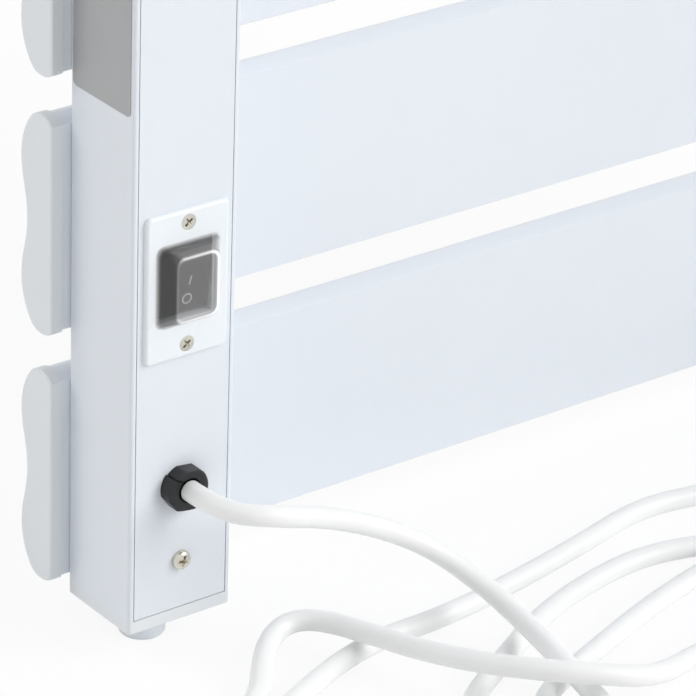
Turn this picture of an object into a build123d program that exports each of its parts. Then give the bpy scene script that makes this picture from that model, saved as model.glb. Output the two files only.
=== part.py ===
# Wall-hung electric towel rail: two posts, ten waved slats, switch, cord and wall brackets.
# Frame in mm: the wall is the plane Y = 0 and the room is on the -Y side, +Z is up.
# The origin is the middle of the four wall fixings.
import os
from math import asin, atan2, cos, degrees, pi, radians, sin, tan

from build123d import *

os.makedirs("parts", exist_ok=True)

# Slats and their end pieces
slat_length = 500.0
slat_height = 75.6
slat_crown_rise = 2.0
slat_spacing = 90.0
slat_rows = (0, 1, 2, 3, 4, 6, 7, 8, 10, 11)
slat_bulge = 16.4
slat_valley = 13.0
slat_crest = 21.5
slat_round = 7.0
slat_crown = 6.0
slat_wall = 1.2
slat_overhang = 7.5
cap_plate = 4.2
cap_lip = 0.6
cap_plug = 8.0
cap_wall = 1.45
cap_bevel = 0.5
pad_height = 56.0
pad_thick = 2.4
pad_margin = 10.0

# Posts, covers and feet
post_width = 40.0
post_depth = 35.0
post_wall = 1.8
post_round = 1.2
rail_end = 5.2
cover_thick = 1.6
ledge_reach = 2.5
ledge_thick = 1.6
post_cap_height = 4.6
post_cap_round = 0.5
tab_width = 14.0
tab_height = 30.0
tab_thick = 3.0
foot_r = 7.8
foot_height = 11.0
foot_round = 1.4
foot_stud_r = 3.0
foot_out = 3.2
foot_back = 0.8

# Screws
slat_screw_r = 2.0
slat_screw_head_r = 3.6
slat_screw_head = 2.4
cover_screw_r = 1.75
cover_screw_head_r = 3.4
cover_screw_head = 2.2
cover_screw_round = 1.2
cover_screw_length = 9.0
cover_screw_cross = 3.6
cover_screw_rise = 22.5
plate_screw_r = 1.5
plate_screw_head_r = 2.7
plate_screw_length = 8.0
plate_screw_cross = 3.0
plate_screw_rise = 21.25
plate_screw_sunk = 0.05
cross_arm = 0.72
cross_depth = 1.1

# Switch, its plate and its splash cover
switch_rise = 123.5
body_w = 22.8
body_h = 29.4
body_depth = 22.0
body_round = 1.0
body_wall = 1.15
pocket_depth = 14.0
ear_w = 26.0
ear_h = 50.0
ear_thick = 2.4
ear_round = 2.0
plate_w = 31.6
plate_h = 51.5
plate_thick = 1.8
plate_corner = 2.0
plate_edge_round = 1.2
plate_drop = 0.8
window_w = 24.0
window_h = 28.5
window_corner = 3.0
boot_flange = 0.75
boot_flange_reach = 1.8
boot_wall = 0.8
boot_rise = 5.0
boot_draft = 3.6
boot_top_corner = 2.4
rocker_w = 19.2
rocker_h = 24.6
rocker_back_h = 16.0
rocker_ridge = 7.3
rocker_dish = 5.5
rocker_back = 3.0
rocker_depth = 5.8
rocker_tilt = 8.0
rocker_corner = 1.0
axle_r = 1.5
switch_tab_w = 6.3
switch_tab_length = 7.0
switch_tab_thick = 0.8
switch_tab_x = 5.5
switch_tab_z = 8.0

# Electrical pieces in the supply post, and its blank label
block_w = 26.0
block_depth = 13.0
block_h = 16.0
block_rise = 82.0
block_hole_r = 2.2
block_hole_depth = 4.0
block_spacing = 8.0
module_w = 30.0
module_depth = 12.0
module_h = 62.0
module_rise = 178.0
label_w = 31.5
label_h = 75.0
label_rise = 220.5
label_corner = 2.0
label_thick = 0.25

# Gland, cord and plug
gland_rise = 50.0
gland_neck_r = 6.25
gland_head_r = 7.75
gland_proud = 5.0
gland_edge = 0.9
gland_flats = 14.0
gland_turn = 35.0
gland_tail_r = 5.85
gland_tail = 9.0
cord_radius = 3.6
cord_exit_run = 18.0
sleeve_length = 24.0
sleeve_wall = 1.0
sleeve_end_r = 6.2
plug_length = 36.0
plug_w = 35.0
plug_h = 13.7
plug_corner = 6.0
plug_neck_w = 17.0
plug_neck_h = 12.6
plug_front = 12.0
pin_r = 2.0
pin_length = 19.0
pin_gap = 18.6
pin_tip_round = 1.2

# Wall brackets
standoff = 42.0
bracket_rise = 240.0
stud_r = 11.0
stud_length = 30.0
wall_screw_r = 2.75
wall_screw_head_r = 5.5
stud_base = 4.0
collar_wall = 3.6
collar_mouth = 3.0
collar_floor = 5.0
grub_r = 2.5
grub_length = 2.8
grub_back = 9.0
bolt_r = 3.0
bolt_head_r = 5.0
bolt_head = 4.5
nut_plate_height = 30.0
nut_plate_thick = 4.0

# Clearances
cover_gap = 0.35
cap_fit = 0.15
screw_fit = 0.35
plate_screw_fit = 0.1
bolt_fit = 0.2
body_fit = 0.2
boot_fit = 0.1
boot_flange_fit = 0.2
boot_flange_room = 0.05
axle_fit = 0.05
axle_end_gap = 0.2
gland_fit = 0.1
grub_gap = 0.3
collar_fit = 0.4
nut_plate_fit = 0.3

# Places worked out from them
slat_back_height = slat_height - 2 * slat_crown_rise
rail_height = slat_rows[-1] * slat_spacing + slat_height + 2 * rail_end
base_z = -rail_height / 2
top_z = rail_height / 2
post_x = slat_length / 2 - slat_overhang - post_width / 2
slat_back_y = -standoff - post_depth
floor_z = base_z - foot_height
lay_z = floor_z + cord_radius
post_inner = post_width - 2 * post_wall
switch_z = base_z + switch_rise
gland_z = base_z + gland_rise
collar_r = stud_r + collar_fit + collar_wall
collar_end = standoff - collar_floor
post_xs = (-post_x, post_x)
cover_screw_zs = (base_z + cover_screw_rise, top_z - cover_screw_rise)
bracket_zs = (-bracket_rise, bracket_rise)
bracket_places = [(x, z) for x in post_xs for z in bracket_zs]
plate_z = switch_z - plate_drop
plate_screw_zs = (plate_z - plate_screw_rise, plate_z + plate_screw_rise)
foot_y = foot_back - standoff - post_depth / 2
foot_places = [(-post_x - foot_out, foot_y), (post_x + foot_out, foot_y)]


def slat_z(row):
    return base_z + rail_end + slat_height / 2 + row * slat_spacing


def depth_y(depth):
    # Y of a place this far inside a post's back face, towards the room.
    return -standoff - depth


def back_plane(x, z, depth=0.0):
    # Seen from the wall: local x runs to -X, local y up, and it looks towards the wall.
    return Plane(origin=(x, depth_y(depth), z), x_dir=(-1, 0, 0), z_dir=(0, 1, 0))


def save(name, shape):
    shape.label = name
    export_step(shape, f"parts/{name}.step")
    print(f"{name}: {len(shape.solids())} solids, {shape.volume / 1000:.2f} cm3")


def slat_outline(x, inset=0.0):
    # A slat's section at Z = 0: flat back, crowned ends and a shallow wave on the front.
    half = slat_height / 2
    rise = half - slat_back_height / 2
    crown = (slat_crown**2 + rise**2) / (2 * rise)
    slope = asin(slat_crown / crown)
    reach = slat_bulge - slat_crown
    steep = half - slat_crest
    wave = slat_bulge - slat_valley
    # Two tangent arcs lead from the crown to the crest, two more from the crest to the dip.
    flank = (reach**2 + steep**2 - 2 * slat_round * steep) / (2 * (reach - slat_round))
    first_turn = degrees(atan2(flank - reach, steep - slat_round))
    ripple = (slat_crest**2 + wave**2) / (4 * wave)
    sway = degrees(asin(slat_crest / 2 / ripple))
    arcs = [(slat_round, first_turn), (flank, 90 - first_turn), (ripple, sway), (ripple, -sway)]
    with BuildSketch(Plane.YZ.offset(x)) as outline:
        with BuildLine():
            back = Line((slat_back_y, 0), (slat_back_y, slat_back_height / 2))
            step = JernArc(back @ 1, (-cos(slope), sin(slope)), crown, degrees(slope))
            for radius, turn in arcs:
                step = JernArc(step @ 1, step % 1, radius, turn)
            mirror(about=Plane.XZ)
        make_face()
        if inset:
            offset(amount=-inset)
    return outline.sketch


def make_slat():
    # One slat at Z = 0; the rows are copies of it.
    length = slat_length - 2 * cap_plate
    with BuildPart() as slat:
        extrude(slat_outline(-length / 2), amount=length)
        extrude(slat_outline(-length / 2, slat_wall), amount=length, mode=Mode.SUBTRACT)
        for x in post_xs:
            with BuildSketch(back_plane(x, 0, post_depth)):
                Circle(slat_screw_r)
            extrude(amount=-slat_wall, mode=Mode.SUBTRACT)
    return slat.part


def make_slat_cap(side):
    # A bevelled plate and a hollow plug inside the slat's tube.
    inner = side * (slat_length / 2 - cap_plate)
    plug_inset = slat_wall + cap_fit
    with BuildPart() as cap:
        extrude(slat_outline(inner, -cap_lip), amount=side * cap_plate)
        end_face = cap.faces().filter_by(Axis.X).sort_by(Axis.X)[-1 if side > 0 else 0]
        chamfer(end_face.edges(), cap_bevel)
        extrude(slat_outline(inner, plug_inset), amount=-side * cap_plug)
        extrude(slat_outline(inner, plug_inset + cap_wall), amount=-side * cap_plug, mode=Mode.SUBTRACT)
    return cap.part


def make_slat_caps(side):
    cap = make_slat_cap(side)
    with BuildPart() as caps:
        for row in slat_rows:
            add(cap.moved(Location((0, 0, slat_z(row)))))
    return caps.part


def make_heating_pads():
    # A flat heating pad on the inner back wall of each slat, between the posts.
    pad_y = slat_back_y - slat_wall - pad_thick / 2
    span = 2 * (post_x - post_width / 2 - pad_margin)
    with BuildPart() as pads:
        for row in slat_rows:
            with Locations((0, pad_y, slat_z(row))):
                Box(span, pad_thick, pad_height)
    return pads.part


def make_post(x):
    # A channel open towards the wall, with two ledges that the cover lies on.
    with BuildPart() as post:
        with BuildSketch(Plane.XY.offset(base_z + post_cap_height)) as section:
            with Locations((x, depth_y(post_depth / 2))):
                outer = Rectangle(post_width, post_depth)
            fillet(outer.vertices(), post_round)
            with Locations((x, depth_y((post_depth - post_wall) / 2))):
                Rectangle(post_inner, post_depth - post_wall, mode=Mode.SUBTRACT)
            for side in (-1, 1):
                ledge_x = x + side * (post_inner - ledge_reach) / 2
                with Locations((ledge_x, depth_y(cover_thick + ledge_thick / 2))):
                    Rectangle(ledge_reach, ledge_thick)
        extrude(amount=rail_height - 2 * post_cap_height)
        for row in slat_rows:
            with BuildSketch(back_plane(x, slat_z(row), post_depth)):
                Circle(slat_screw_r)
            extrude(amount=post_wall, mode=Mode.SUBTRACT)
    return post.part


def make_cover(x, with_switch):
    # The inset back plate of a post, flush with its edges.
    width = post_inner - 2 * cover_gap
    height = rail_height - 2 * (post_cap_height + cover_gap)
    holes = [(z, cover_screw_r + screw_fit) for z in cover_screw_zs]
    holes += [(z, bolt_r + bolt_fit) for z in bracket_zs]
    if with_switch:
        holes += [(z, plate_screw_r + body_fit) for z in plate_screw_zs]
        holes += [(gland_z, gland_neck_r + gland_fit)]
    with BuildPart() as cover:
        with BuildSketch(back_plane(x, 0, cover_thick)):
            Rectangle(width, height)
            for z, hole_r in holes:
                with Locations((0, z)):
                    Circle(hole_r, mode=Mode.SUBTRACT)
            if with_switch:
                opening_w = body_w + 2 * body_fit
                opening_h = body_h + 2 * body_fit
                with Locations((0, switch_z)):
                    RectangleRounded(opening_w, opening_h, body_round + body_fit, mode=Mode.SUBTRACT)
        extrude(amount=cover_thick)
    return cover.part


def make_post_caps(lower):
    # The end piece of each post, with an upright tab that the cover is screwed to.
    sense = 1 if lower else -1
    end = base_z if lower else top_z
    seat = end + sense * post_cap_height
    with BuildPart() as caps:
        for x in post_xs:
            with BuildSketch(Plane.XY.offset(end)):
                with Locations((x, depth_y(post_depth / 2))):
                    RectangleRounded(post_width, post_depth, post_round)
            extrude(amount=sense * post_cap_height)
        rim = caps.faces().filter_by(Axis.Z).group_by(Axis.Z)[0 if lower else -1].edges()
        fillet(rim, post_cap_round)
        for x in post_xs:
            with Locations((x, depth_y(cover_thick + tab_thick / 2), seat + sense * tab_height / 2)):
                Box(tab_width, tab_thick, tab_height)
            with BuildSketch(back_plane(x, end + sense * cover_screw_rise, cover_thick + tab_thick)):
                Circle(cover_screw_r)
            extrude(amount=tab_thick, mode=Mode.SUBTRACT)
        if lower:
            with BuildSketch(Plane.XY.offset(end)):
                with Locations(foot_places):
                    Circle(foot_stud_r)
            extrude(amount=post_cap_height, mode=Mode.SUBTRACT)
    return caps.part


def make_feet():
    # Round feet under the posts, each with a stud through the lower end piece.
    with BuildPart() as feet:
        with BuildSketch(Plane.XY.offset(floor_z)):
            with Locations(foot_places):
                Circle(foot_r)
        extrude(amount=foot_height)
        fillet(feet.edges().filter_by(GeomType.CIRCLE).group_by(Axis.Z)[0], foot_round)
        with BuildSketch(Plane.XY.offset(base_z)):
            with Locations(foot_places):
                Circle(foot_stud_r)
        extrude(amount=post_cap_height)
    return feet.part


def cross_recess(x, z, depth, size):
    # The cross slot of a screw head, cut from its outer face inwards.
    with BuildSketch(back_plane(x, z, depth)) as cross:
        Rectangle(size, cross_arm)
        Rectangle(cross_arm, size)
    extrude(cross.sketch, amount=-cross_depth, mode=Mode.SUBTRACT)


def make_cover_screws():
    # Pan-head screws through the covers into the end pieces' tabs.
    with BuildPart() as screws:
        for x in post_xs:
            for z in cover_screw_zs:
                with BuildSketch(back_plane(x, z)):
                    Circle(cover_screw_head_r)
                extrude(amount=cover_screw_head)
        heads = screws.edges().filter_by(GeomType.CIRCLE).group_by(Axis.Y)[-1]
        fillet(heads, cover_screw_round)
        for x in post_xs:
            for z in cover_screw_zs:
                with BuildSketch(back_plane(x, z)):
                    Circle(cover_screw_r)
                extrude(amount=-cover_screw_length)
                cross_recess(x, z, -cover_screw_head, cover_screw_cross)
    return screws.part


def make_plate_screws():
    # Countersunk screws through the plate and the cover into the switch's ears.
    cone = plate_screw_head_r - plate_screw_r
    with BuildPart() as screws:
        for z in plate_screw_zs:
            cone_end = plate_screw_sunk + cone - plate_thick
            with BuildSketch(back_plane(post_x, z, cone_end)):
                Circle(plate_screw_r)
            extrude(amount=cone, taper=-45)
            with BuildSketch(back_plane(post_x, z, cone_end)):
                Circle(plate_screw_r)
            extrude(amount=-plate_screw_length)
            cross_recess(post_x, z, plate_screw_sunk - plate_thick, plate_screw_cross)
    return screws.part


def make_slat_screws():
    # Pan heads inside the posts that pull the slats on.
    with BuildPart() as screws:
        for x in post_xs:
            for row in slat_rows:
                seat = back_plane(x, slat_z(row), post_depth - post_wall)
                with BuildSketch(seat):
                    Circle(slat_screw_head_r)
                extrude(amount=slat_screw_head)
                with BuildSketch(seat):
                    Circle(slat_screw_r)
                extrude(amount=-(post_wall + slat_wall))
    return screws.part


def make_switch_plate():
    # The bezel over the switch, hollowed behind its window for the splash cover's flange.
    room_w = window_w + 2 * (boot_flange_reach + boot_flange_fit)
    room_h = window_h + 2 * (boot_flange_reach + boot_flange_fit)
    hole_r = plate_screw_r + plate_screw_fit
    sink = plate_screw_head_r - plate_screw_r + plate_screw_sunk
    with BuildPart() as plate:
        with BuildSketch(back_plane(post_x, plate_z)):
            RectangleRounded(plate_w, plate_h, plate_corner)
        extrude(amount=plate_thick)
        fillet(plate.faces().sort_by(Axis.Y)[-1].edges(), plate_edge_round)
        with BuildSketch(back_plane(post_x, switch_z)):
            RectangleRounded(window_w, window_h, window_corner)
        extrude(amount=plate_thick, mode=Mode.SUBTRACT)
        with BuildSketch(back_plane(post_x, switch_z)):
            RectangleRounded(room_w, room_h, plate_corner)
        extrude(amount=boot_flange + boot_flange_room, mode=Mode.SUBTRACT)
        for z in plate_screw_zs:
            with BuildSketch(back_plane(post_x, z)):
                Circle(hole_r)
            extrude(amount=plate_thick, mode=Mode.SUBTRACT)
            with BuildSketch(back_plane(post_x, z, sink - plate_thick)):
                Circle(hole_r)
            extrude(amount=sink, taper=-45, mode=Mode.SUBTRACT)
    return plate.part


def make_switch_boot():
    # Clear splash cover: a thin flange under the plate and a hollow tapered dome.
    flange_w = window_w + 2 * boot_flange_reach
    flange_h = window_h + 2 * boot_flange_reach
    shells = [(0.0, boot_rise, Mode.ADD), (boot_wall, boot_rise - boot_wall, Mode.SUBTRACT)]
    with BuildPart() as boot:
        with BuildSketch(back_plane(post_x, switch_z)):
            RectangleRounded(flange_w, flange_h, window_corner)
        extrude(amount=boot_flange)
        for inset, rise, mode in shells:
            width = window_w - 2 * (boot_fit + inset)
            height = window_h - 2 * (boot_fit + inset)
            corner = window_corner - boot_fit - inset
            draft = 2 * boot_draft * rise / boot_rise
            with BuildSketch(back_plane(post_x, switch_z)):
                RectangleRounded(width, height, corner)
            extrude(amount=plate_thick, mode=mode)
            with BuildSketch(back_plane(post_x, switch_z, -plate_thick)):
                RectangleRounded(width, height, corner)
            with BuildSketch(back_plane(post_x, switch_z, -plate_thick - rise)):
                RectangleRounded(width - draft, height - draft, boot_top_corner - inset)
            loft(mode=mode)
    return boot.part


def switch_axis():
    return Location((post_x, depth_y(rocker_depth), switch_z), (0, 90, 0))


def make_switch_body():
    # Housing behind the cover, held by two ears, with a pocket and axle holes for the rocker.
    with BuildPart() as body:
        with BuildSketch(back_plane(post_x, switch_z)):
            RectangleRounded(body_w, body_h, body_round)
        extrude(amount=-body_depth)
        with BuildSketch(back_plane(post_x, switch_z, cover_thick)):
            RectangleRounded(ear_w, ear_h, ear_round)
        extrude(amount=-ear_thick)
        with BuildSketch(back_plane(post_x, switch_z)):
            Rectangle(body_w - 2 * body_wall, body_h - 2 * body_wall)
        extrude(amount=-pocket_depth, mode=Mode.SUBTRACT)
        for z in plate_screw_zs:
            with BuildSketch(back_plane(post_x, z, cover_thick)):
                Circle(plate_screw_r)
            extrude(amount=-ear_thick, mode=Mode.SUBTRACT)
        with Locations(switch_axis()):
            Cylinder(axle_r + axle_fit, body_w, mode=Mode.SUBTRACT)
    return body.part


def make_switch_rocker():
    # Drawn in its own tilted frame, with the lower end pressed in.
    tilt = radians(rocker_tilt)
    side = Plane(
        origin=(post_x - rocker_w / 2, depth_y(rocker_depth), switch_z),
        x_dir=(0, cos(tilt), -sin(tilt)),
        z_dir=(1, 0, 0),
    )
    tip = rocker_h / 2
    heel = rocker_back_h / 2
    with BuildPart() as rocker:
        with BuildSketch(side):
            with BuildLine():
                Polyline(
                    (rocker_ridge, tip), (rocker_dish, 0), (rocker_ridge, -tip), (0, -tip),
                    (-rocker_back, -heel), (-rocker_back, heel), (0, tip), close=True,
                )
            make_face()
        extrude(amount=rocker_w)
        fillet(rocker.edges().filter_by(Axis(side.origin, side.x_dir)), rocker_corner)
        with Locations(switch_axis()):
            Cylinder(axle_r, body_w - 2 * axle_end_gap)
    return rocker.part


def make_switch_tabs():
    tab_y = depth_y(body_depth + switch_tab_length / 2)
    with BuildPart() as tabs:
        for side in (-1, 1):
            for rise in (-switch_tab_z, switch_tab_z):
                with Locations((post_x + side * switch_tab_x, tab_y, switch_z + rise)):
                    Box(switch_tab_thick, switch_tab_length, switch_tab_w)
    return tabs.part


def make_terminal_block():
    # Screwed to the inner front wall of the supply post, with its wire holes to the back.
    z = base_z + block_rise
    front = post_depth - post_wall
    with BuildPart() as block:
        with Locations((post_x, depth_y(front - block_depth / 2), z)):
            Box(block_w, block_depth, block_h)
        for side in (-1, 0, 1):
            with BuildSketch(back_plane(post_x + side * block_spacing, z, front - block_depth)):
                Circle(block_hole_r)
            extrude(amount=-block_hole_depth, mode=Mode.SUBTRACT)
    return block.part


def make_control_module():
    with BuildPart() as module:
        module_y = depth_y(post_depth - post_wall - module_depth / 2)
        with Locations((post_x, module_y, base_z + module_rise)):
            Box(module_w, module_depth, module_h)
    return module.part


def make_rating_label():
    # The blank plate on the outer side of the supply post.
    with BuildPart() as label:
        with BuildSketch(Plane.YZ.offset(post_x + post_width / 2)):
            with Locations((depth_y(post_depth / 2), base_z + label_rise)):
                RectangleRounded(label_w, label_h, label_corner)
        extrude(amount=label_thick)
    return label.part


def make_cable_gland():
    # A round head with two flats outside the cover, a neck through it and a tail inside.
    with BuildPart() as gland:
        with BuildSketch(back_plane(post_x, gland_z)):
            Circle(gland_head_r)
        extrude(amount=gland_proud)
        chamfer(gland.faces().sort_by(Axis.Y)[-1].edges(), gland_edge)
        with BuildSketch(back_plane(post_x, gland_z)):
            Circle(2 * gland_head_r)
            Rectangle(4 * gland_head_r, gland_flats, rotation=gland_turn, mode=Mode.SUBTRACT)
        extrude(amount=gland_proud, mode=Mode.SUBTRACT)
        with BuildSketch(back_plane(post_x, gland_z)):
            Circle(gland_neck_r)
        extrude(amount=-cover_thick)
        with BuildSketch(back_plane(post_x, gland_z, cover_thick)):
            Circle(gland_tail_r)
        extrude(amount=-gland_tail)
    return gland.part


# The cord leaves the gland straight, then follows this route: X, Y and the height of its
# middle line over where it lies. It drops to the floor plane, is crossed twice by its own
# later stretches, and ends at the plug.
cord_route = [
    (209.5, -7.5, 57.4), (188, -10.5, 49.4), (166.5, -10.5, 39.4), (147.5, -6.5, 28),
    (136.5, 7, 17.5), (132.5, 25, 10.2), (136.5, 52, 8.4), (136, 70, 3), (142, 100, 0),
    (128, 138, 0), (88, 154, 0), (46, 142, 0), (20, 112, 0), (24, 76, 0), (54, 58, 0),
    (90, 64, 3), (120.5, 77.5, 10.5), (142, 70.5, 16), (155, 59, 16), (163.5, 41, 12.5),
    (171, 19, 9), (178, 0.5, 8.5), (185, -15.5, 8), (193, -21.5, 7), (202, -19.5, 5),
    (211.5, -11, 3), (225, 6, 1), (252, 19, 0), (287, 40, 0), (304, 74, 0), (297, 114, 0),
    (262, 144, 0), (214, 150, 0), (186, 126, 0), (170, 88, 0), (152, 55, 0), (113, 39.5, 0),
    (73, 25, 0), (28, 15, 0), (-10, 24, 0), (-48, 44, 0), (-92, 46, 0), (-124, 18, 0),
    (-120, -21, 0), (-88, -40, 0), (-50, -29, 0), (-9, -3, 0), (26, 10, 0), (55, 0, 0),
    (82, 2.5, 0), (113, 11.5, 0), (146, 29.5, 0), (176, 47.5, 0), (189, 95, 0), (220, 117, 0),
    (258, 102, 0), (274, 64, 0), (246, 26.5, 0), (199, 3, 0), (170, -5.5, 0), (140.5, -5, 0),
    (104, -11, 0), (70, -18.5, 0), (38, -27, 0), (8, -20.5, 0), (-26, -24, 0), (-57, -46, 0),
    (-86, -62, 0), (-116, -56, 3.3), (-146, -41, 3.3),
]
cord_exit = Vector(post_x, gland_proud - standoff, gland_z)
cord_points = [cord_exit, cord_exit + Vector(0, cord_exit_run, 0)]
cord_points += [Vector(x, y, lay_z + rise) for x, y, rise in cord_route]


def corner_radii(points):
    # Each bend takes just under half of the shorter run beside it.
    radii = []
    for before, here, after in zip(points, points[1:], points[2:]):
        turn = (here - before).get_angle(after - here)
        run = min((here - before).length, (after - here).length)
        radii.append(0.45 * run / tan(radians(turn / 2)))
    return radii


def make_mains_cord():
    radii = corner_radii(cord_points)
    print("cord radii mm:", " ".join(f"{r:.0f}" for r in radii))
    with BuildPart() as cord:
        with BuildLine() as route:
            FilletPolyline(*cord_points, radius=radii)
        with BuildSketch(Plane(origin=cord_points[0], z_dir=cord_points[1] - cord_points[0])):
            Circle(cord_radius)
        sweep()
    length = sum(edge.length for edge in route.line.edges())
    ratio = cord.part.volume / (pi * cord_radius**2 * length)
    print(f"cord length {length:.0f} mm, volume over section x length {ratio:.4f}")
    return cord.part


def plug_plane(along):
    # A plane across the plug, this far past the cord's end.
    heading = (cord_points[-1] - cord_points[-2]).normalized()
    across = Vector(0, 0, 1).cross(heading).normalized()
    return Plane(origin=cord_points[-1] + heading * along, x_dir=across, z_dir=heading)


def make_plug_sleeve():
    # The tapered strain relief between cord and plug.
    with BuildPart() as sleeve:
        with BuildSketch(plug_plane(0)):
            Circle(cord_radius + sleeve_wall)
        with BuildSketch(plug_plane(sleeve_length)):
            Circle(sleeve_end_r)
        loft()
    return sleeve.part


def make_mains_plug():
    shoulder = plug_plane(sleeve_length + plug_length - plug_front)
    with BuildPart() as plug:
        with BuildSketch(plug_plane(sleeve_length)):
            RectangleRounded(plug_neck_w, plug_neck_h, plug_corner)
        with BuildSketch(shoulder):
            RectangleRounded(plug_w, plug_h, plug_corner)
        loft()
        with BuildSketch(shoulder):
            RectangleRounded(plug_w, plug_h, plug_corner)
        extrude(amount=plug_front)
    return plug.part


def make_plug_pins():
    with BuildPart() as pins:
        with BuildSketch(plug_plane(sleeve_length + plug_length)):
            with Locations((-pin_gap / 2, 0), (pin_gap / 2, 0)):
                Circle(pin_r)
        extrude(amount=pin_length)
        tips = pins.faces().filter_by(GeomType.PLANE).sort_by(Axis.X)[:2].edges()
        fillet(tips, pin_tip_round)
    return pins.part


def make_wall_mounts():
    # The studs that are screwed to the wall, each with a bore for the screw head.
    with BuildPart() as mounts:
        with BuildSketch(Plane.XZ):
            with Locations(*bracket_places):
                Circle(stud_r)
                Circle(wall_screw_r, mode=Mode.SUBTRACT)
        extrude(amount=stud_length)
        with BuildSketch(Plane.XZ.offset(stud_base)):
            with Locations(*bracket_places):
                Circle(wall_screw_head_r)
        extrude(amount=stud_length - stud_base, mode=Mode.SUBTRACT)
    return mounts.part


def make_bracket_arms():
    # Collars bolted to the posts that slide over the wall studs.
    with BuildPart() as arms:
        with BuildSketch(Plane.XZ.offset(collar_mouth)):
            with Locations(*bracket_places):
                Circle(collar_r)
        extrude(amount=standoff - collar_mouth)
        with BuildSketch(Plane.XZ.offset(collar_mouth)):
            with Locations(*bracket_places):
                Circle(stud_r + collar_fit)
        extrude(amount=collar_end - collar_mouth, mode=Mode.SUBTRACT)
        with BuildSketch(Plane.XZ.offset(collar_end)):
            with Locations(*bracket_places):
                Circle(bolt_r)
        extrude(amount=collar_floor, mode=Mode.SUBTRACT)
        for x, z in bracket_places:
            with BuildSketch(Plane.XY.offset(z)):
                with Locations((x, -collar_mouth - grub_back)):
                    Circle(grub_r)
            extrude(amount=-2 * collar_r, mode=Mode.SUBTRACT)
    return arms.part


def make_grub_screws():
    # Headless screws in the collars' undersides that clamp them on the studs.
    with BuildPart() as grubs:
        for x, z in bracket_places:
            with BuildSketch(Plane.XY.offset(z - stud_r - grub_gap)):
                with Locations((x, -collar_mouth - grub_back)):
                    Circle(grub_r)
            extrude(amount=-grub_length)
    return grubs.part


def make_bracket_bolts():
    # Hexagon bolts from inside the collars through the covers into the nut plates.
    with BuildPart() as bolts:
        with BuildSketch(Plane.XZ.offset(collar_end)):
            with Locations(*bracket_places):
                RegularPolygon(bolt_head_r, 6)
        extrude(amount=-bolt_head)
        with BuildSketch(Plane.XZ.offset(collar_end)):
            with Locations(*bracket_places):
                Circle(bolt_r)
        extrude(amount=collar_floor + cover_thick + ledge_thick + nut_plate_thick)
    return bolts.part


def make_nut_plates():
    # Threaded plates inside the posts, behind the ledges.
    with BuildPart() as plates:
        with BuildSketch(Plane.XZ.offset(standoff + cover_thick + ledge_thick)):
            with Locations(*bracket_places):
                Rectangle(post_inner - 2 * nut_plate_fit, nut_plate_height)
                Circle(bolt_r, mode=Mode.SUBTRACT)
        extrude(amount=nut_plate_thick)
    return plates.part


slat = make_slat()
for number, row in enumerate(slat_rows, start=1):
    save(f"slat_{number:02d}", slat.moved(Location((0, 0, slat_z(row)))))
save("slat_caps_left", make_slat_caps(-1))
save("slat_caps_right", make_slat_caps(1))
save("heating_pads", make_heating_pads())
save("supply_post", make_post(post_x))
save("plain_post", make_post(-post_x))
save("supply_cover", make_cover(post_x, True))
save("plain_cover", make_cover(-post_x, False))
save("lower_post_caps", make_post_caps(True))
save("upper_post_caps", make_post_caps(False))
save("feet", make_feet())
save("cover_screws", make_cover_screws())
save("slat_screws", make_slat_screws())
save("switch_plate", make_switch_plate())
save("plate_screws", make_plate_screws())
save("switch_boot", make_switch_boot())
save("switch_body", make_switch_body())
save("switch_rocker", make_switch_rocker())
save("switch_tabs", make_switch_tabs())
save("terminal_block", make_terminal_block())
save("control_module", make_control_module())
save("rating_label", make_rating_label())
save("cable_gland", make_cable_gland())
save("mains_cord", make_mains_cord())
save("plug_sleeve", make_plug_sleeve())
save("mains_plug", make_mains_plug())
save("plug_pins", make_plug_pins())
save("wall_mounts", make_wall_mounts())
save("bracket_arms", make_bracket_arms())
save("grub_screws", make_grub_screws())
save("bracket_bolts", make_bracket_bolts())
save("nut_plates", make_nut_plates())
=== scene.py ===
import math

import bmesh
import bpy
from mathutils import Matrix, Vector


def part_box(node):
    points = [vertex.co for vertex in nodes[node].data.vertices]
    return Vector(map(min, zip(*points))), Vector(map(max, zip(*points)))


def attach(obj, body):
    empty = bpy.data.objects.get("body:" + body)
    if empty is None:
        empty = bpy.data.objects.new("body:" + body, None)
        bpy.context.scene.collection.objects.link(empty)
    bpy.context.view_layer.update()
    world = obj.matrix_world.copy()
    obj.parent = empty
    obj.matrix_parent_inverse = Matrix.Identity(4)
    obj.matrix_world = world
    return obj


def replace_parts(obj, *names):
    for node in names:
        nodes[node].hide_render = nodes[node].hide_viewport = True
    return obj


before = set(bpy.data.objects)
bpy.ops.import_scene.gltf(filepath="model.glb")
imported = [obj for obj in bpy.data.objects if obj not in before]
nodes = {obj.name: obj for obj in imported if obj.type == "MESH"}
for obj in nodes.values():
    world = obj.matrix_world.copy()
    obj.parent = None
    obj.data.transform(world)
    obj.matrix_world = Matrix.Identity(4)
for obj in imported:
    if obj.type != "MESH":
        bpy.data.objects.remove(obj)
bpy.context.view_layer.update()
mm = 0.001
print("frame loaded with", len(nodes), "nodes")


def middle(node):
    low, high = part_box(node)
    return (Vector(low) + Vector(high)) / 2


def lowCorner(node):
    return Vector(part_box(node)[0])


def highCorner(node):
    return Vector(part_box(node)[1])


# Places that the pieces are built from, all read from the frame
postX = middle("supply_post").x
postBackY = highCorner("supply_cover").y
floorZ = lowCorner("feet").z
switchZ = middle("switch_body").z
glandZ = middle("cable_gland").z


# Camera
cameraSettings = {
    "place": (1.0007, 1.0533, 0.2447),
    "azimuth": 37.612,  # degrees from the wall's normal towards +X
    "elevation": 26.914,
    "roll": 1.951,
    "lens": 246.1,
    "sensor": 36.0,
}


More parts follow.
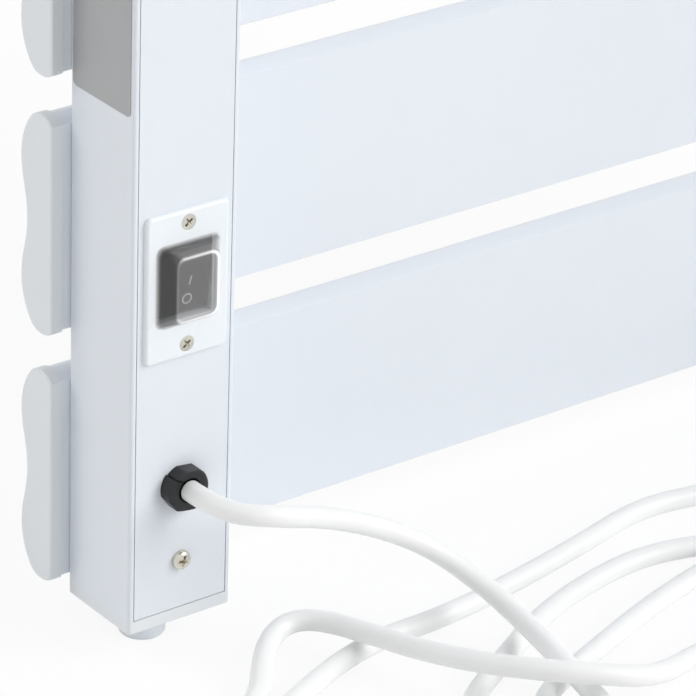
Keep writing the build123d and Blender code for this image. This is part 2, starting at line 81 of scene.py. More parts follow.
def makeCamera(settings):
    azimuth = math.radians(settings["azimuth"])
    elevation = math.radians(settings["elevation"])
    roll = math.radians(settings["roll"])
    level = math.cos(elevation)
    toLens = Vector((math.sin(azimuth) * level, math.cos(azimuth) * level, math.sin(elevation)))
    levelRight = Vector((-math.cos(azimuth), math.sin(azimuth), 0))
    levelUp = toLens.cross(levelRight)
    right = levelRight * math.cos(roll) + levelUp * math.sin(roll)
    up = levelUp * math.cos(roll) - levelRight * math.sin(roll)
    data = bpy.data.cameras.new("photoCamera")
    data.lens = settings["lens"]
    data.sensor_width = settings["sensor"]
    data.clip_start = 0.05
    data.clip_end = 60
    camera = bpy.data.objects.new("photoCamera", data)
    turn = Matrix((right, up, toLens)).transposed()
    camera.matrix_world = Matrix.Translation(settings["place"]) @ turn.to_4x4()
    bpy.context.scene.collection.objects.link(camera)
    bpy.context.scene.camera = camera
    return camera


makeCamera(cameraSettings)
print("camera placed")


# Mesh helpers
def linkPiece(name, mesh, material, body):
    piece = bpy.data.objects.new(name, mesh)
    bpy.context.scene.collection.objects.link(piece)
    piece.data.materials.append(material)
    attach(piece, body)
    return piece


def meshFrom(bm, name, place=None, smoothAngle=35):
    # Turns a bmesh into a mesh with its place in its points and its faces outwards.
    if place is not None:
        bmesh.ops.transform(bm, matrix=place, verts=bm.verts)
    bmesh.ops.remove_doubles(bm, verts=bm.verts, dist=1e-6)
    bmesh.ops.recalc_face_normals(bm, faces=bm.faces)
    for face in bm.faces:
        face.smooth = True
    for edge in bm.edges:
        if len(edge.link_faces) == 2:
            edge.smooth = edge.calc_face_angle() < math.radians(smoothAngle)
    mesh = bpy.data.meshes.new(name)
    bm.to_mesh(mesh)
    bm.free()
    return mesh


def lowestFace(bm):
    return min(bm.faces, key=lambda face: face.calc_center_median().z)


def highestFace(bm):
    return max(bm.faces, key=lambda face: face.calc_center_median().z)


def raiseFace(bm, face, size, rise):
    # Extrudes a level rectangular face upwards to a new width and height.
    face = bmesh.ops.extrude_discrete_faces(bm, faces=[face])["faces"][0]
    wide = max(v.co.x for v in face.verts) - min(v.co.x for v in face.verts)
    tall = max(v.co.y for v in face.verts) - min(v.co.y for v in face.verts)
    bmesh.ops.scale(bm, vec=(size[0] / wide, size[1] / tall, 1), verts=face.verts)
    bmesh.ops.translate(bm, vec=(0, 0, rise), verts=face.verts)
    return face


def roundEdges(bm, edges, reach, segments):
    bmesh.ops.bevel(
        bm, geom=edges, offset=reach, offset_type="OFFSET", affect="EDGES", segments=segments,
        profile=0.5, material=-1, clamp_overlap=True,
    )


def pullLoop(bm, loop, scale, rise):
    # Extrudes a closed loop of edges along Z and scales it about the axis.
    grown = bmesh.ops.extrude_edge_only(bm, edges=loop)["geom"]
    verts = [part for part in grown if isinstance(part, bmesh.types.BMVert)]
    bmesh.ops.scale(bm, vec=(scale, scale, 1), verts=verts)
    bmesh.ops.translate(bm, vec=(0, 0, rise), verts=verts)
    ring = set(verts)
    return [
        part for part in grown
        if isinstance(part, bmesh.types.BMEdge) and part.verts[0] in ring and part.verts[1] in ring
    ]


def spinProfile(bm, profile, steps):
    # Turns a closed outline of radius and height once round Z.
    corners = [bm.verts.new((radius, 0, height)) for radius, height in profile]
    edges = [bm.edges.new((a, b)) for a, b in zip(corners, corners[1:] + corners[:1])]
    bmesh.ops.spin(
        bm, geom=corners + edges, cent=(0, 0, 0), axis=(0, 0, 1), angle=2 * math.pi,
        steps=steps, use_merge=True,
    )


def backPlace(x, y, z):
    # Local x to -X, local y up and local z out of the post's back face.
    turn = Matrix(((-1, 0, 0), (0, 0, 1), (0, 1, 0))).transposed()
    return Matrix.Translation((x, y, z)) @ turn.to_4x4()


# Node helpers
def newGroup(name, inputs, outputs):
    group = bpy.data.node_groups.new(name, "ShaderNodeTree")
    for label, kind, value in inputs:
        socket = group.interface.new_socket(name=label, in_out="INPUT", socket_type=kind)
        if value is not None:
            socket.default_value = value
    for label, kind in outputs:
        group.interface.new_socket(name=label, in_out="OUTPUT", socket_type=kind)
    start = group.nodes.new("NodeGroupInput")
    end = group.nodes.new("NodeGroupOutput")
    return group, start, end


def feed(tree, value, socket):
    # Links another node's output to the socket, or sets a plain number on it.
    if isinstance(value, bpy.types.NodeSocket):
        tree.links.new(value, socket)
    else:
        socket.default_value = value


def noiseNode(tree, vector, scale, detail):
    noise = tree.nodes.new("ShaderNodeTexNoise")
    noise.inputs["Detail"].default_value = detail
    feed(tree, scale, noise.inputs["Scale"])
    feed(tree, vector, noise.inputs["Vector"])
    return noise


def spreadNode(tree, value, source, target):
    # Spreads the span of the source over the span of the target.
    spread = tree.nodes.new("ShaderNodeMapRange")
    for label, end in zip(("From Min", "From Max", "To Min", "To Max"), source + target):
        feed(tree, end, spread.inputs[label])
    feed(tree, value, spread.inputs["Value"])
    return spread.outputs["Result"]


def mathNode(tree, operation, first, second):
    node = tree.nodes.new("ShaderNodeMath")
    node.operation = operation
    feed(tree, first, node.inputs[0])
    feed(tree, second, node.inputs[1])
    return node.outputs[0]


def splitNode(tree, vector):
    split = tree.nodes.new("ShaderNodeSeparateXYZ")
    tree.links.new(vector, split.inputs["Vector"])
    return split.outputs


# Patterns that all the finishes share, with the spans of noise that are spread out
patternSettings = {
    "fineDetail": 2.0,
    "broadDetail": 3.0,
    "broadShare": 0.3,  # of the peel's height
    "toneSpan": (0.3, 0.7),
    "smearScale": 22.0,
    "smearDetail": 4.0,
    "smearBend": 0.6,
    "smearSpan": (0.42, 0.68),
}


def makeCoatGrain(settings):
    # Fine peel of a sprayed or moulded skin, and a broad tone that drifts over it.
    inputs = [
        ("Vector", "NodeSocketVector", None),
        ("Fine Scale", "NodeSocketFloat", 900.0),
        ("Broad Scale", "NodeSocketFloat", 9.0),
        ("Broad Share", "NodeSocketFloat", settings["broadShare"]),
    ]
    outputs = [("Height", "NodeSocketFloat"), ("Tone", "NodeSocketFloat")]
    group, start, end = newGroup("coatGrain", inputs, outputs)
    place = start.outputs["Vector"]
    fine = noiseNode(group, place, start.outputs["Fine Scale"], settings["fineDetail"])
    broad = noiseNode(group, place, start.outputs["Broad Scale"], settings["broadDetail"])
    blend = group.nodes.new("ShaderNodeMix")
    group.links.new(start.outputs["Broad Share"], blend.inputs["Factor"])
    group.links.new(fine.outputs["Fac"], blend.inputs["A"])
    group.links.new(broad.outputs["Fac"], blend.inputs["B"])
    group.links.new(blend.outputs["Result"], end.inputs["Height"])
    group.links.new(broad.outputs["Fac"], end.inputs["Tone"])
    return group


def makeTintDrift(settings):
    # Darkens a colour a little where the tone is low.
    inputs = [
        ("Colour", "NodeSocketColor", None),
        ("Tone", "NodeSocketFloat", 0.5),
        ("Amount", "NodeSocketFloat", 0.04),
    ]
    group, start, end = newGroup("tintDrift", inputs, [("Colour", "NodeSocketColor")])
    darkest = mathNode(group, "SUBTRACT", 1.0, start.outputs["Amount"])
    light = spreadNode(group, start.outputs["Tone"], settings["toneSpan"], (darkest, 1.0))
    scale = group.nodes.new("ShaderNodeVectorMath")
    scale.operation = "SCALE"
    group.links.new(start.outputs["Colour"], scale.inputs[0])
    group.links.new(light, scale.inputs["Scale"])
    group.links.new(scale.outputs["Vector"], end.inputs["Colour"])
    return group


def makeHandlingMarks(settings):
    # Soft smears that change the gloss.
    inputs = [
        ("Vector", "NodeSocketVector", None),
        ("Clean", "NodeSocketFloat", 0.3),
        ("Marked", "NodeSocketFloat", 0.42),
    ]
    group, start, end = newGroup("handlingMarks", inputs, [("Roughness", "NodeSocketFloat")])
    place = start.outputs["Vector"]
    smear = noiseNode(group, place, settings["smearScale"], settings["smearDetail"])
    smear.inputs["Distortion"].default_value = settings["smearBend"]
    gloss = (start.outputs["Clean"], start.outputs["Marked"])
    spread = spreadNode(group, smear.outputs["Fac"], settings["smearSpan"], gloss)
    group.links.new(spread, end.inputs["Roughness"])
    return group


coatGrain = makeCoatGrain(patternSettings)
tintDrift = makeTintDrift(patternSettings)
handlingMarks = makeHandlingMarks(patternSettings)


def placeGroup(tree, group, values):
    node = tree.nodes.new("ShaderNodeGroup")
    node.node_tree = group
    for label, value in values.items():
        node.inputs[label].default_value = value
    return node


def wireSurface(tree, fine, broad, peel, rough):
    # Smeared gloss into Roughness and a fine peel into Normal; gives back the drifting tone.
    shader = tree.nodes["Principled BSDF"]
    place = tree.nodes.new("ShaderNodeTexCoord").outputs["Object"]
    grain = placeGroup(tree, coatGrain, {"Fine Scale": fine, "Broad Scale": broad})
    marks = placeGroup(tree, handlingMarks, {"Clean": rough[0], "Marked": rough[1]})
    bump = tree.nodes.new("ShaderNodeBump")
    bump.inputs["Distance"].default_value = peel
    tree.links.new(place, grain.inputs["Vector"])
    tree.links.new(place, marks.inputs["Vector"])
    tree.links.new(marks.outputs["Roughness"], shader.inputs["Roughness"])
    tree.links.new(grain.outputs["Height"], bump.inputs["Height"])
    tree.links.new(bump.outputs["Normal"], shader.inputs["Normal"])
    return grain.outputs["Tone"]


def makeSkin(name, colour, fine, peel, rough, drift, broad=9.0, metallic=0.0):
    # A coated, moulded or plated surface: a drifting tint over the grain.
    material = bpy.data.materials.new(name)
    material.use_nodes = True
    tree = material.node_tree
    shader = tree.nodes["Principled BSDF"]
    shader.inputs["Metallic"].default_value = metallic
    tone = wireSurface(tree, fine, broad, peel, rough)
    tint = placeGroup(tree, tintDrift, {"Colour": (*colour, 1), "Amount": drift})
    tree.links.new(tone, tint.inputs["Tone"])
    tree.links.new(tint.outputs["Colour"], shader.inputs["Base Color"])
    return material


# Finishes: fine and broad are the grain's scales, peel its height in metres, rough the roughness
# where it is clean and where it is marked, and drift how much darker the tint gets in places.
skinSettings = {
    "whiteCoat": {
        "colour": (0.787, 0.826, 0.878), "fine": 1400, "peel": 0.00004,
        "rough": (0.34, 0.42), "drift": 0.02,
    },
    "capPlastic": {
        "colour": (0.79, 0.82, 0.845), "fine": 2200, "peel": 0.00002,
        "rough": (0.36, 0.46), "drift": 0.03,
    },
    "platePlastic": {
        "colour": (0.86, 0.9, 0.935), "fine": 2400, "peel": 0.00001,
        "rough": (0.22, 0.3), "drift": 0.02,
    },
    "footRubber": {
        "colour": (0.78, 0.825, 0.86), "fine": 3000, "peel": 0.00003,
        "rough": (0.5, 0.62), "drift": 0.05,
    },
    "nickelPlate": {
        "colour": (0.7, 0.675, 0.6), "fine": 5000, "peel": 0.00001,
        "rough": (0.16, 0.3), "drift": 0.15, "broad": 160.0, "metallic": 1.0,
    },
    "blackNylon": {
        "colour": (0.006, 0.0075, 0.009), "fine": 4200, "peel": 0.00003,
        "rough": (0.38, 0.52), "drift": 0.2, "broad": 60.0,
    },
    "rockerBlack": {
        "colour": (0.022, 0.023, 0.025), "fine": 5200, "peel": 0.00002,
        "rough": (0.3, 0.42), "drift": 0.2, "broad": 60.0,
    },
    "moduleResin": {
        "colour": (0.03, 0.034, 0.04), "fine": 2600, "peel": 0.00006,
        "rough": (0.45, 0.6), "drift": 0.25, "broad": 40.0,
    },
    "blockPlastic": {
        "colour": (0.8, 0.8, 0.76), "fine": 2600, "peel": 0.00002,
        "rough": (0.4, 0.5), "drift": 0.05, "broad": 60.0,
    },
    "tabBrass": {
        "colour": (0.75, 0.58, 0.28), "fine": 5000, "peel": 0.00001,
        "rough": (0.25, 0.4), "drift": 0.15, "broad": 160.0, "metallic": 1.0,
    },
    "heaterFoil": {
        "colour": (0.74, 0.74, 0.75), "fine": 700, "peel": 0.0002,
        "rough": (0.3, 0.45), "drift": 0.1, "broad": 30.0, "metallic": 1.0,
    },
    "labelFoil": {
        "colour": (0.42, 0.425, 0.43), "fine": 1800, "peel": 0.00002,
        "rough": (0.42, 0.5), "drift": 0.05, "broad": 20.0,
    },
    "cordSkin": {
        "colour": (0.93, 0.935, 0.925), "fine": 2600, "peel": 0.00003,
        "rough": (0.36, 0.46), "drift": 0.03, "broad": 40.0,
    },
    "studPlastic": {
        "colour": (0.78, 0.8, 0.82), "fine": 2400, "peel": 0.00003,
        "rough": (0.42, 0.52), "drift": 0.04, "broad": 40.0,
    },
    "markInk": {
        "colour": (0.62, 0.62, 0.62), "fine": 3000, "peel": 0.00001,
        "rough": (0.5, 0.6), "drift": 0.1, "broad": 200.0,
    },
}
finishes = {name: makeSkin(name, **settings) for name, settings in skinSettings.items()}


# Clear moulding of the splash cover, with painted shade in its tint and painted glow in its Emission. A
# turn is how far a face looks along an axis, from 0 to 1, where the painted shade in the tint starts to
# change and where it has changed.
clearSettings = {
    "transmission": 0.9,
    "ior": 1.42,
    "grain": {"fine": 420.0, "broad": 120.0, "peel": 0.00002, "rough": (0.04, 0.1)},
    "shadow": 0.15,  # how much of a lamp's light it stops
    "tint": 0.72,
    "paintedSideShade": 0.25,  # painted shade: the tint on walls that look along +X
    "sideTurn": (0.2, 0.6),
    "paintedTopShade": 0.6,  # share of the tint kept on walls that look up, a painted shade
    "topTurn": (0.4, 0.7),
    "foot": (2.2 * mm, 2.9 * mm),  # heights over the post's face between which the painted glow of the foot fades
    "paintedFootGlow": 0.24,
    # How far a face looks along +Y, and how strong the painted highlight is there.
    "edgeHighlightBand": (
        (0.4, 0.0), (0.5, 0.22), (0.7, 0.22), (0.77, 0.1), (0.83, 0.9), (0.93, 0.9), (0.99, 0.0),
    ),
    "edgeHighlightLean": (-0.75, 0.0, -0.1),  # the side that the painted edge highlights favour
    "edgeHighlightLeast": 0.32,
}


def bandNode(tree, value, stops):
    # A curve of straight runs through the stops, and nothing at 0 and 1.
    band = tree.nodes.new("ShaderNodeFloatCurve")
    curve = band.mapping.curves[0]
    curve.points[0].location = (0, 0)
    curve.points[1].location = (1, 0)
    for stop in stops:
        curve.points.new(*stop)
    for point in curve.points:
        point.handle_type = "VECTOR"
    band.mapping.update()
    tree.links.new(value, band.inputs["Value"])
    return band.outputs["Value"]


def makeClearCover(settings):
    # Soft clear moulding: light passes through it; its turned edges carry a painted highlight and its
    # foot a painted glow, and its tint has painted shade on walls that look along +X or up.
    material = bpy.data.materials.new("clearCover")
    material.use_nodes = True
    tree = material.node_tree
    shader = tree.nodes["Principled BSDF"]
    shader.inputs["Transmission Weight"].default_value = settings["transmission"]
    shader.inputs["IOR"].default_value = settings["ior"]
    # Emission carries the painted highlight on the turned edges and the painted glow at the foot.
    shader.inputs["Emission Strength"].default_value = 1.0
    wireSurface(tree, **settings["grain"])
    place = splitNode(tree, tree.nodes.new("ShaderNodeTexCoord").outputs["Object"])
    normal = tree.nodes.new("ShaderNodeNewGeometry").outputs["Normal"]
    facing = splitNode(tree, normal)
    # Painted shade: the tint darkens on walls that look along +X and on walls that look up.
    tint = spreadNode(tree, facing["X"], settings["sideTurn"], (settings["tint"], settings["paintedSideShade"]))
    top = spreadNode(tree, facing["Z"], settings["topTurn"], (1.0, settings["paintedTopShade"]))
    tree.links.new(mathNode(tree, "MULTIPLY", tint, top), shader.inputs["Base Color"])
    shadow = tree.nodes.new("ShaderNodeLightPath").outputs["Is Shadow Ray"]
    alpha = spreadNode(tree, shadow, (0.0, 1.0), (1.0, settings["shadow"]))
    tree.links.new(alpha, shader.inputs["Alpha"])
    # Painted highlight along the turned edges, stronger on one side, given through Emission Color.
    lean = tree.nodes.new("ShaderNodeVectorMath")
    lean.operation = "DOT_PRODUCT"
    lean.inputs[1].default_value = settings["edgeHighlightLean"]
    tree.links.new(normal, lean.inputs[0])
    share = mathNode(tree, "ADD", lean.outputs["Value"], settings["edgeHighlightLeast"])
    edge = mathNode(tree, "MULTIPLY", share, bandNode(tree, facing["Y"], settings["edgeHighlightBand"]))
    # Painted glow at the foot, fading with height over the post's face.
    low, high = (postBackY + height for height in settings["foot"])
    foot = spreadNode(tree, place["Y"], (low, high), (settings["paintedFootGlow"], 0.0))
    tree.links.new(mathNode(tree, "MAXIMUM", edge, foot), shader.inputs["Emission Color"])
    return material


finishes["clearCover"] = makeClearCover(clearSettings)

nodeFinishes = {
    "whiteCoat": ["supply_post", "plain_post", "supply_cover", "plain_cover", "bracket_arms"]
    + [name for name in nodes if name.startswith("slat_0") or name == "slat_10"],
    "capPlastic": ["slat_caps_left", "slat_caps_right", "lower_post_caps", "upper_post_caps"],
    "platePlastic": ["switch_plate", "switch_body"],
    "footRubber": ["feet"],
    "nickelPlate": [
        "cover_screws", "slat_screws", "plate_screws", "grub_screws", "bracket_bolts", "nut_plates",
        "plug_pins",
    ],
    "blackNylon": ["cable_gland"],
    "rockerBlack": ["switch_rocker"],
    "clearCover": ["switch_boot"],
    "moduleResin": ["control_module"],
    "blockPlastic": ["terminal_block"],
    "tabBrass": ["switch_tabs"],
    "heaterFoil": ["heating_pads"],
    "labelFoil": ["rating_label"],
    "cordSkin": ["mains_cord", "plug_sleeve", "mains_plug"],
    "studPlastic": ["wall_mounts"],
}
for finish, names in nodeFinishes.items():
    for name in names:
        data = nodes[name].data
        data.materials.clear()
        data.materials.append(finishes[finish])
print("finishes on", sum(len(names) for names in nodeFinishes.values()), "nodes")


# Clear splash cover: a skirt under the plate, a neck through its window and a tapered dome
splashSettings = {
    "neck": (23.7 * mm, 28.2 * mm),
    "neckTop": 1.9 * mm,
    "dome": (15.6 * mm, 21.8 * mm),
    "domeRise": 4.8 * mm,
    "corner": (2.6 * mm, 6),  # radius and steps
    "rim": (0.8 * mm, 4),
    "skirtReach": 1.8 * mm,
    "wall": 0.74 * mm,
}


def makeSplashCover(settings):
    wall = settings["wall"]
    wide, tall = settings["neck"]
    reach = settings["skirtReach"]
    bm = bmesh.new()
    bmesh.ops.create_cube(bm, size=1)
    bmesh.ops.scale(bm, vec=(wide, tall, settings["neckTop"] - wall), verts=bm.verts)
    bmesh.ops.translate(bm, vec=(0, 0, (settings["neckTop"] + wall) / 2), verts=bm.verts)
    raiseFace(bm, highestFace(bm), settings["dome"], settings["domeRise"])
    upright = [e for e in bm.edges if abs(e.verts[0].co.z - e.verts[1].co.z) > wall / 2]
    roundEdges(bm, upright, *settings["corner"])
    roundEdges(bm, highestFace(bm).edges[:], *settings["rim"])
    bmesh.ops.delete(bm, geom=[lowestFace(bm)], context="FACES")
    mouth = [edge for edge in bm.edges if edge.is_boundary]
    skirt = bmesh.ops.extrude_edge_only(bm, edges=mouth)["geom"]
    outer = [part for part in skirt if isinstance(part, bmesh.types.BMVert)]
    bmesh.ops.scale(bm, vec=(1 + 2 * reach / wide, 1 + 2 * reach / tall, 1), verts=outer)
    place = backPlace(postX, postBackY, switchZ)
    mesh = meshFrom(bm, "splashCover", place, smoothAngle=50)
    cover = linkPiece("splashCover", mesh, finishes["clearCover"], "rail")
    thicken = cover.modifiers.new("wall", "SOLIDIFY")
    thicken.thickness = wall
    thicken.offset = -1
    return cover


splashCover = makeSplashCover(splashSettings)
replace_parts(splashCover, "switch_boot")


# Rocker key, in its own tilted frame: X to the right as seen from the wall, Y up and Z outwards
rockerSettings = {
    "width": 19.2 * mm,
    "half": 12.3 * mm,
    "tip": 5.8 * mm,  # how far the front stands from the axle at both ends
    "dish": 5.5 * mm,
    "backHalf": 8.0 * mm,
    "back": -3.0 * mm,
    "axleDepth": 5.8 * mm,
    "tilt": 8.0,
    "valleyShare": 0.7,  # how much of each half the dish's rounded bottom takes
    "tipRound": (1.1 * mm, 4),  # radius and steps
    "sideRound": (0.5 * mm, 3),
    "markThick": 0.2 * mm,
    "markLine": 0.5 * mm,
    "onRound": 0.45,  # of the line
    "onHeight": 3.4 * mm,
    "onPlace": (2.05 * mm, -0.4 * mm, 5.6 * mm),
    "onLean": -8.0,
    "offOuter": 1.95 * mm,
    "offPlace": (1.6 * mm, -7.15 * mm, 5.7 * mm),
    "offSquash": 0.93,
    "offSteps": 40,
}


def rockerPlace(settings):
    tilt = Matrix.Rotation(math.radians(-settings["tilt"]), 4, "X")
    axle = Matrix.Translation((postX, postBackY - settings["axleDepth"], switchZ))
    return axle @ tilt @ backPlace(0, 0, 0)


def makeRockerKey(settings):
    half, tip, dish = settings["half"], settings["tip"], settings["dish"]
    backHalf, back = settings["backHalf"], settings["back"]
    outline = [
        (half, tip), (0, dish), (-half, tip), (-half, 0), (-backHalf, back), (backHalf, back),
        (half, 0),
    ]
    bm = bmesh.new()
    side = bm.faces.new([bm.verts.new((-settings["width"] / 2, up, out)) for up, out in outline])
    grown = bmesh.ops.extrude_face_region(bm, geom=[side])["geom"]
    far = [part for part in grown if isinstance(part, bmesh.types.BMVert)]
    bmesh.ops.translate(bm, vec=(settings["width"], 0, 0), verts=far)
    across = [e for e in bm.edges if abs(e.verts[0].co.x - e.verts[1].co.x) > settings["width"] / 2]
    valley = [e for e in across if abs(e.verts[0].co.y) < 1e-5]
    tips = [e for e in across if e.verts[0].co.z > (tip + dish) / 2]
    roundEdges(bm, valley, settings["valleyShare"] * half, segments=8)
    roundEdges(bm, [e for e in tips if e.is_valid], *settings["tipRound"])
    ends = [face for face in bm.faces if len(face.verts) > 6]
    roundEdges(bm, list({edge for face in ends for edge in face.edges}), *settings["sideRound"])
    mesh = meshFrom(bm, "rockerKey", rockerPlace(settings), smoothAngle=30)
    return linkPiece("rockerKey", mesh, finishes["rockerBlack"], "rocker")


def makeOnMark(settings):
    # A bar with soft ends, just proud of the key.
    bm = bmesh.new()
    bmesh.ops.create_cube(bm, size=1)
    size = (settings["markLine"], settings["onHeight"], settings["markThick"])
    bmesh.ops.scale(bm, vec=size, verts=bm.verts)
    half = settings["markThick"] / 2
    corners = [e for e in bm.edges if abs(e.verts[0].co.z - e.verts[1].co.z) > half]
    roundEdges(bm, corners, settings["onRound"] * settings["markLine"], segments=4)
    lean = Matrix.Rotation(math.radians(settings["onLean"]), 4, "Z")
    place = rockerPlace(settings) @ Matrix.Translation(settings["onPlace"]) @ lean
    mesh = meshFrom(bm, "onMark", place, smoothAngle=40)
    return linkPiece("onMark", mesh, finishes["markInk"], "rocker")


def makeOffMark(settings):
    # A thin ring, slightly taller than wide.
    outer, line, half = settings["offOuter"], settings["markLine"], settings["markThick"] / 2
    bm = bmesh.new()
    inner = outer - line
    profile = [(inner, -half), (outer, -half), (outer, half), (inner, half)]
    spinProfile(bm, profile, settings["offSteps"])
    bmesh.ops.scale(bm, vec=(settings["offSquash"], 1, 1), verts=bm.verts)
    place = rockerPlace(settings) @ Matrix.Translation(settings["offPlace"])
    mesh = meshFrom(bm, "offMark", place, smoothAngle=40)
    return linkPiece("offMark", mesh, finishes["markInk"], "rocker")


rockerKey = makeRockerKey(rockerSettings)
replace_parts(rockerKey, "switch_rocker")
makeOnMark(rockerSettings)
makeOffMark(rockerSettings)
print("splash cover and rocker made")


# Cross-head screws: each profile runs from the head's flat top outwards and down the shank
coverScrewSettings = {
    "profile": [
        (2.5, 2.05), (3.0, 1.7), (3.3, 1.15), (3.4, 0.5), (3.4, 0.02), (1.7, 0.02), (1.7, -8.0),
        (1.0, -9.0),
    ],
    "cross": (1.95, 0.48),  # half its length and half its slot
    "top": 2.2,
    "crossDepth": 1.6,
    "turn": -14.0,
    "solidHead": 3.4,  # radius of the solid's head
}
plateScrewSettings = {
    "profile": [(2.3, -0.04), (2.62, -0.12), (2.62, -0.2), (1.45, -1.36), (1.45, -7.4), (0.9, -7.9)],
    "cross": (1.7, 0.42),
    "top": 0.0,
    "crossDepth": 1.4,
    "turn": 38.0,
    "solidHead": 2.7,
}
rimSteps = 24  # twice the corners of a cross, so that the two loops bridge evenly
crossFloor = 0.45  # how much of the cross's size is left at its floor


def addScrew(bm, settings, place):
    # The cross is a loop of points that the rim of the flat top is bridged to.
    arm, slot = settings["cross"]
    head = bmesh.new()
    outline = [(arm, slot), (slot, slot), (slot, arm)]
    corners = []
    for quarter in range(4):
        turn = Matrix.Rotation(quarter * math.pi / 2, 3, "Z")
        corners += [head.verts.new(turn @ Vector((x, y, settings["top"]))) for x, y in outline]
    loop = [head.edges.new((a, b)) for a, b in zip(corners, corners[1:] + corners[:1])]
    bmesh.ops.subdivide_edges(head, edges=loop, cuts=1)
    inner = head.edges[:]
    radius, height = settings["profile"][0]
    rim = bmesh.ops.create_circle(head, cap_ends=False, segments=rimSteps, radius=radius)["verts"]
    bmesh.ops.rotate(head, verts=rim, matrix=Matrix.Rotation(math.pi / rimSteps, 3, "Z"))
    bmesh.ops.translate(head, vec=(0, 0, height), verts=rim)
    outer = [edge for edge in head.edges if edge.verts[0] in rim]
    bmesh.ops.bridge_loops(head, edges=inner + outer)
    for nextRadius, nextHeight in settings["profile"][1:]:
        outer = pullLoop(head, outer, nextRadius / radius, nextHeight - height)
        radius, height = nextRadius, nextHeight
    floorLoop = pullLoop(head, inner, crossFloor, -settings["crossDepth"])
    bmesh.ops.contextual_create(head, geom=floorLoop)
    bmesh.ops.contextual_create(head, geom=outer)
    turn = Matrix.Rotation(math.radians(settings["turn"]), 4, "Z")
    bmesh.ops.transform(head, matrix=place @ turn @ Matrix.Scale(mm, 4), verts=head.verts)
    bmesh.ops.recalc_face_normals(head, faces=head.faces)
    part = bpy.data.meshes.new("screwPart")
    head.to_mesh(part)
    head.free()
    bm.from_mesh(part)
    bpy.data.meshes.remove(part)


def makeScrews(name, settings, places, replaced):
    bm = bmesh.new()
    for place in places:
        addScrew(bm, settings, place)
    mesh = meshFrom(bm, name, smoothAngle=32)
    screws = linkPiece(name, mesh, finishes["nickelPlate"], "rail")
    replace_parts(screws, replaced)
    return screws


def screwRise(node, settings):
    # How far over and under their middle the screws of a node stand.
    return (highCorner(node).z - lowCorner(node).z) / 2 - settings["solidHead"] * mm


plateFrontY = highCorner("switch_plate").y
plateScrews = middle("plate_screws")
plateScrewRise = screwRise("plate_screws", plateScrewSettings)
coverScrewRise = screwRise("cover_screws", coverScrewSettings)
coverScrewPlaces = [
    backPlace(x, postBackY, side * coverScrewRise) for x in (-postX, postX) for side in (-1, 1)
]
plateScrewPlaces = [
    backPlace(postX, plateFrontY, plateScrews.z + side * plateScrewRise) for side in (-1, 1)
]
makeScrews("coverScrews", coverScrewSettings, coverScrewPlaces, "cover_screws")
makeScrews("plateScrews", plateScrewSettings, plateScrewPlaces, "plate_screws")
print("screws made")


# Cord gland: a two-part head with four flats, a neck through the cover and a tail inside
glandSettings = {
    "upperHead": 7.6,
    "lowerHead": 8.2,
    "proud": 5.0,
    "under": 0.02,  # how far the head's underside lies over the cover
    "edge": 1.1,
    "edgeTurn": 0.3,  # of the edge, cut off at its corner
    "bore": 4.0,
    "mouth": 0.4,
    "neck": 6.2,
    "coverThick": 1.6,
    "tail": 5.8,
    "tailEnd": -10.6,
    "flats": ((48, 7.45), (83, 7.0), (216, 7.65), (262, 7.05)),  # direction and reach
    "splitNormal": 62,
    "splitReach": 2.0,
    "splitGap": 0.3,
}


def addGlandHalf(bm, settings, upper):
    radius = settings["upperHead"] if upper else settings["lowerHead"]
    proud, under, mouth = settings["proud"], settings["under"], settings["mouth"]
    edge, turned = settings["edge"], settings["edgeTurn"] * settings["edge"]
    bore, neck, tail = settings["bore"], settings["neck"], settings["tail"]
    inside = -settings["coverThick"]
    half = bmesh.new()
    spinProfile(half, [
        (bore, settings["tailEnd"]), (bore, proud - mouth), (bore + mouth, proud),
        (radius - edge, proud), (radius - turned, proud - turned), (radius, proud - edge),
        (radius, under), (neck, under), (neck, inside), (tail, inside), (tail, settings["tailEnd"]),
    ], steps=64)
    bmesh.ops.recalc_face_normals(half, faces=half.faces)
    keep = 1 if upper else -1
    split = settings["splitReach"] + keep * settings["splitGap"] / 2
    for angle, reach in settings["flats"] + ((settings["splitNormal"], split),):
        normal = Vector((math.cos(math.radians(angle)), math.sin(math.radians(angle)), 0))
        if angle == settings["splitNormal"]:
            point, normal = normal * reach, normal * -keep
        else:
            point = normal * reach
        bmesh.ops.bisect_plane(
            half, geom=half.verts[:] + half.edges[:] + half.faces[:], plane_co=point,
            plane_no=normal, clear_outer=True,
        )
        openEdges = [e for e in half.edges if e.is_boundary]
        bmesh.ops.holes_fill(half, edges=openEdges, sides=0)
    bmesh.ops.recalc_face_normals(half, faces=half.faces)
    part = bpy.data.meshes.new("glandPart")
    half.to_mesh(part)
    half.free()
    bm.from_mesh(part)
    bpy.data.meshes.remove(part)


def makeGland(settings):
    bm = bmesh.new()
    for upper in (True, False):
        addGlandHalf(bm, settings, upper)
    place = backPlace(postX, postBackY, glandZ) @ Matrix.Scale(mm, 4)
    mesh = meshFrom(bm, "cordGland", place, smoothAngle=28)
    return linkPiece("cordGland", mesh, finishes["blackNylon"], "rail")


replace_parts(makeGland(glandSettings), "cable_gland")
print("gland made")


